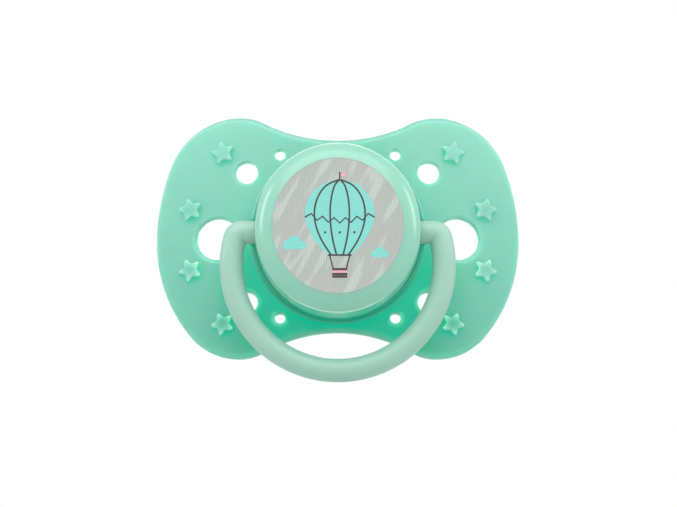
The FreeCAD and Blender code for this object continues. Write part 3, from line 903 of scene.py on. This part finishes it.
def draw_balloon(fill, lines, accents, centre, depth, settings):
    """Hot-air balloon: ribbed envelope, zigzag skirt, ropes, basket and pennant."""
    x, z = centre
    radius = settings.balloon_radius
    width = settings.line_width
    over = depth - INK_LIFT
    throat = z - radius * THROAT_DROP
    crown = z + radius
    envelope = ink_disc(fill, (x, z), radius, depth, segments=72)
    for vert in envelope:
        across, up = balloon_point(vert.co.x - x, vert.co.z - z, radius)
        vert.co.x = x + across
        vert.co.z = max(z + up, throat)
    for part in RIB_PLACES:
        rib = []
        for step in range(RIB_STEPS + 1):
            turn = math.radians(4.0 + 151.0 * step / RIB_STEPS)
            across, up = balloon_point(radius * math.sin(turn), radius * math.cos(turn), radius)
            rib.append((x + part * across, max(z + up, throat)))
        ink_line(lines, rib, width, over)
    for side in (-1, 1):
        rope = [(x + side * 0.29 * radius, throat), (x + side * 0.19 * radius, throat - 0.40 * radius)]
        ink_line(lines, rope, width * 0.8, over, smooth=False)
    ink_line(lines, [(x - 0.32 * radius, throat), (x + 0.32 * radius, throat)], width, over, smooth=False)
    zigzag = []
    for index in range(ZIGZAG_TEETH + 1):
        across = -1.0 + 2.0 * index / ZIGZAG_TEETH
        sag = 0.18 * (1.0 - across * across)
        tooth = 0.15 if index % 2 else 0.0
        zigzag.append((x + 0.98 * radius * across, z + radius * (tooth - sag - 0.07)))
    ink_line(lines, zigzag, width, over, smooth=False)
    for index in range(-1, 2):
        ink_disc(lines, (x + 0.42 * radius * index, z - 0.52 * radius), 0.035 * radius, over, segments=16)
    for row in range(4):
        target = accents if row == 1 else lines
        level = throat - (0.41 + 0.072 * row) * radius
        ink_line(target, [(x - 0.19 * radius, level), (x + 0.19 * radius, level)], width * 1.3,
                 over - 0.002 * MM, smooth=False)
    ink_line(lines, [(x, crown), (x, crown + 0.22 * radius)], width * 0.8, over, smooth=False)
    ink_disc(accents, (x + 0.10 * radius, crown + 0.17 * radius), 0.11 * radius, over, segments=3)


def build_print():
    """Everything printed on the film: a balloon and two clouds, in three inks."""
    settings = bpy.context.scene.pacifier_picture
    fill, lines, accents = bmesh.new(), bmesh.new(), bmesh.new()
    depth = FILM_FACE + FILM_INSET - INK_LIFT
    draw_balloon(fill, lines, accents, (0.3 * MM, 1.7 * MM), depth, settings)
    draw_cloud(fill, (-6.6 * MM, -3.0 * MM), 1.15 * MM, depth)
    draw_cloud(fill, (6.4 * MM, -4.4 * MM), 0.9 * MM, depth)
    inks = (("print_turquoise", fill, ink_material("turquoise ink", settings.turquoise, 0.06, 1.45)),
            ("print_lines", lines, ink_material("brown ink", settings.ink, 0.15, 0.05)),
            ("print_pink", accents, ink_material("pink ink", settings.pink, 0.06, 0.7)))
    for name, shape, ink in inks:
        for face in shape.faces:
            if face.normal.y > 0.99:
                face.normal_flip()
        drawing = finished(name, shape, [ink], smooth=False)
        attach(drawing, KNOB_BODY)


# ---- Operators ----
class PACIFIER_OT_plastic(bpy.types.Operator):
    """Give the shield, the knob and the ring their moulded plastic"""

    bl_idname = "pacifier.plastic"
    bl_label = "Dress the plastic pieces"

    def execute(self, context):
        settings = context.scene.pacifier_plastic
        shield = plastic_material("mint plastic", settings.shield_colour, settings.shield_deep, SHIELD_FINISH)
        collar = plastic_material(
            "collar plastic", settings.shield_colour, settings.shield_deep, COLLAR_FINISH)
        cap = plastic_material("cap plastic", settings.cap_colour, settings.cap_deep, CAP_FINISH)
        ring = plastic_material("ring plastic", settings.ring_colour, settings.ring_deep, RING_FINISH)
        dressing = {"shield": shield, "knob_base": collar, "knob_cap": cap, "ring_handle": ring}
        for node, material in dressing.items():
            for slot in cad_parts[node].material_slots:
                slot.material = material
        build_cap(cap, settings.cap_stretch)
        return {"FINISHED"}


class PACIFIER_OT_teat(bpy.types.Operator):
    """Model the silicone teat"""

    bl_idname = "pacifier.teat"
    bl_label = "Model the teat"

    def execute(self, context):
        build_teat()
        return {"FINISHED"}


class PACIFIER_OT_picture(bpy.types.Operator):
    """Model the film in the knob and its print"""

    bl_idname = "pacifier.picture"
    bl_label = "Model the picture"

    def execute(self, context):
        build_film()
        build_print()
        return {"FINISHED"}


def add_floor(settings):
    """Plain pale floor under the ring, seen from above only."""
    shape = bmesh.new()
    level = CAD_BOX[0].z - 0.2 * MM
    bmesh.ops.create_grid(shape, x_segments=1, y_segments=1, size=settings.floor_size / 2.0,
                          matrix=Matrix.Translation((0.0, 0.0, level)))
    material, tree, shader = new_material("pale floor")
    output = next(node for node in tree.nodes if node.type == "OUTPUT_MATERIAL")
    set_inputs(shader, Roughness=0.8)
    clouds = add_node(tree, "ShaderNodeTexNoise", (100, 200))
    set_inputs(clouds, Scale=6.0, Detail=3.0)
    paint = add_blend(tree, (300, 200), FLOOR_DARKER, FLOOR_PALER)
    geometry = add_node(tree, "ShaderNodeNewGeometry", (500, 300))
    clear = add_node(tree, "ShaderNodeBsdfTransparent", (500, -500))
    choice = add_node(tree, "ShaderNodeMixShader", (750, 0))
    place = add_node(tree, "ShaderNodeTexCoord", (-100, 200))
    path = add_node(tree, "ShaderNodeLightPath", (100, 500))
    seen = add_blend(tree, (500, 100), FLOOR_UNSEEN)
    unseen = add_math(tree, (300, 500), "MULTIPLY_ADD", 0.5, -FLOOR_LIGHT, FLOOR_LIGHT)
    shader.inputs["Emission Color"].default_value = rgba(WHITE)
    reach = add_node(tree, "ShaderNodeVectorMath", (100, -500), operation="LENGTH")
    far = add_ramp(tree, (300, -500), FLOOR_FADE, smooth=True)
    open_side = add_math(tree, (500, -300), "MULTIPLY_ADD")
    open_side.use_clamp = True
    connect(
        tree,
        (place, "Object", clouds, "Vector"),
        (clouds, "Fac", paint, "Factor"),
        (path, "Is Camera Ray", seen, "Factor"),
        (path, "Is Camera Ray", unseen, 0),
        (paint, RESULT, seen, SECOND),
        (seen, RESULT, shader, "Base Color"),
        (unseen, 0, shader, "Emission Strength"),
        (place, "Object", reach, 0),
        (reach, "Value", far, "Value"),
        (far, "Result", open_side, 0),
        (path, "Is Camera Ray", open_side, 1),
        (geometry, "Backfacing", open_side, 2),
        (open_side, 0, choice, "Fac"),
        (shader, "BSDF", choice, 1),
        (clear, "BSDF", choice, 2),
        (choice, "Shader", output, "Surface"))
    floor = finished("floor", shape, [material], smooth=False)


def add_sky(settings):
    """Even white light; white behind the pacifier, in its gloss and through its silicone."""
    world = bpy.data.worlds.new("studio")
    bpy.context.scene.world = world
    world.use_nodes = True
    tree = world.node_tree
    tree.nodes.clear()
    output = add_node(tree, "ShaderNodeOutputWorld", (600, 0))
    lit = add_node(tree, "ShaderNodeBackground", (200, 100))
    set_inputs(lit, Color=rgba(WHITE), Strength=settings.sky_strength)
    seen = add_node(tree, "ShaderNodeBackground", (200, -100))
    set_inputs(seen, Color=rgba(WHITE), Strength=1.0)
    path = add_node(tree, "ShaderNodeLightPath", (-200, 300))
    either = add_math(tree, (0, 300), "MAXIMUM")
    any_of_them = add_math(tree, (180, 300), "MAXIMUM")
    choice = add_node(tree, "ShaderNodeMixShader", (400, 0))
    connect(
        tree,
        (path, "Is Camera Ray", either, 0),
        (path, "Is Transmission Ray", either, 1),
        (either, 0, any_of_them, 0),
        (path, "Is Glossy Ray", any_of_them, 1),
        (any_of_them, 0, choice, "Fac"),
        (lit, "Background", choice, 1),
        (seen, "Background", choice, 2),
        (choice, "Shader", output, "Surface"))


def add_lamp(name, place, size, power):
    """A soft square lamp that points at the pacifier."""
    lamp = bpy.data.lights.new(name, "AREA")
    lamp.shape = "RECTANGLE"
    lamp.size, lamp.size_y = size
    lamp.energy = power
    holder = bpy.data.objects.new(name, lamp)
    holder.location = place
    holder.rotation_euler = (-Vector(place)).to_track_quat("-Z", "Y").to_euler()
    bpy.context.scene.collection.objects.link(holder)


def add_camera(settings):
    """Long lens, a little below the pacifier, looking up at it."""
    camera = bpy.data.cameras.new("camera")
    camera.sensor_width = 36.0
    camera.lens = camera.sensor_width * settings.distance / settings.frame_width
    camera.clip_start = 0.01
    camera.clip_end = 20.0
    aim = Vector((settings.aim_side, 0.0, -settings.aim_drop / math.cos(settings.view_angle)))
    back = Vector((0.0, -math.cos(settings.view_angle), -math.sin(settings.view_angle)))
    holder = bpy.data.objects.new("camera", camera)
    holder.location = aim + back * settings.distance
    holder.rotation_euler = (-back).to_track_quat("-Z", "Y").to_euler()
    bpy.context.scene.collection.objects.link(holder)
    bpy.context.scene.camera = holder


class PACIFIER_OT_stage(bpy.types.Operator):
    """Set the floor, the lamps and the camera"""

    bl_idname = "pacifier.stage"
    bl_label = "Set the stage"

    def execute(self, context):
        settings = context.scene.pacifier_stage
        context.scene.view_settings.view_transform = "Standard"
        add_sky(settings)
        add_floor(settings)
        for lamp in LAMPS:
            add_lamp(*lamp)
        add_camera(settings)
        return {"FINISHED"}


class PACIFIER_PT_pieces(bpy.types.Panel):
    """Lists the pacifier's pieces and their settings"""

    bl_idname = "PACIFIER_PT_pieces"
    bl_label = "Pacifier"
    bl_space_type = "VIEW_3D"
    bl_region_type = "UI"
    bl_category = "Pacifier"

    def draw(self, context):
        layout = self.layout
        for operator in OPERATORS:
            layout.operator(operator.bl_idname)
        for name, group in SETTINGS.items():
            box = layout.box()
            for label in group.__annotations__:
                box.prop(getattr(context.scene, name), label)


OPERATORS = (PACIFIER_OT_plastic, PACIFIER_OT_teat, PACIFIER_OT_picture, PACIFIER_OT_stage)


def register():
    for group in (*SETTINGS.values(), *OPERATORS, PACIFIER_PT_pieces):
        bpy.utils.register_class(group)
    for name, group in SETTINGS.items():
        setattr(bpy.types.Scene, name, bpy.props.PointerProperty(type=group))


def unregister():
    for name in SETTINGS:
        delattr(bpy.types.Scene, name)
    for group in reversed((*SETTINGS.values(), *OPERATORS, PACIFIER_PT_pieces)):
        bpy.utils.unregister_class(group)


def main():
    """Builds the pieces in order."""
    register()
    bpy.ops.pacifier.plastic()
    bpy.ops.pacifier.teat()
    bpy.ops.pacifier.picture()
    bpy.ops.pacifier.stage()


if __name__ == "__main__":
    main()
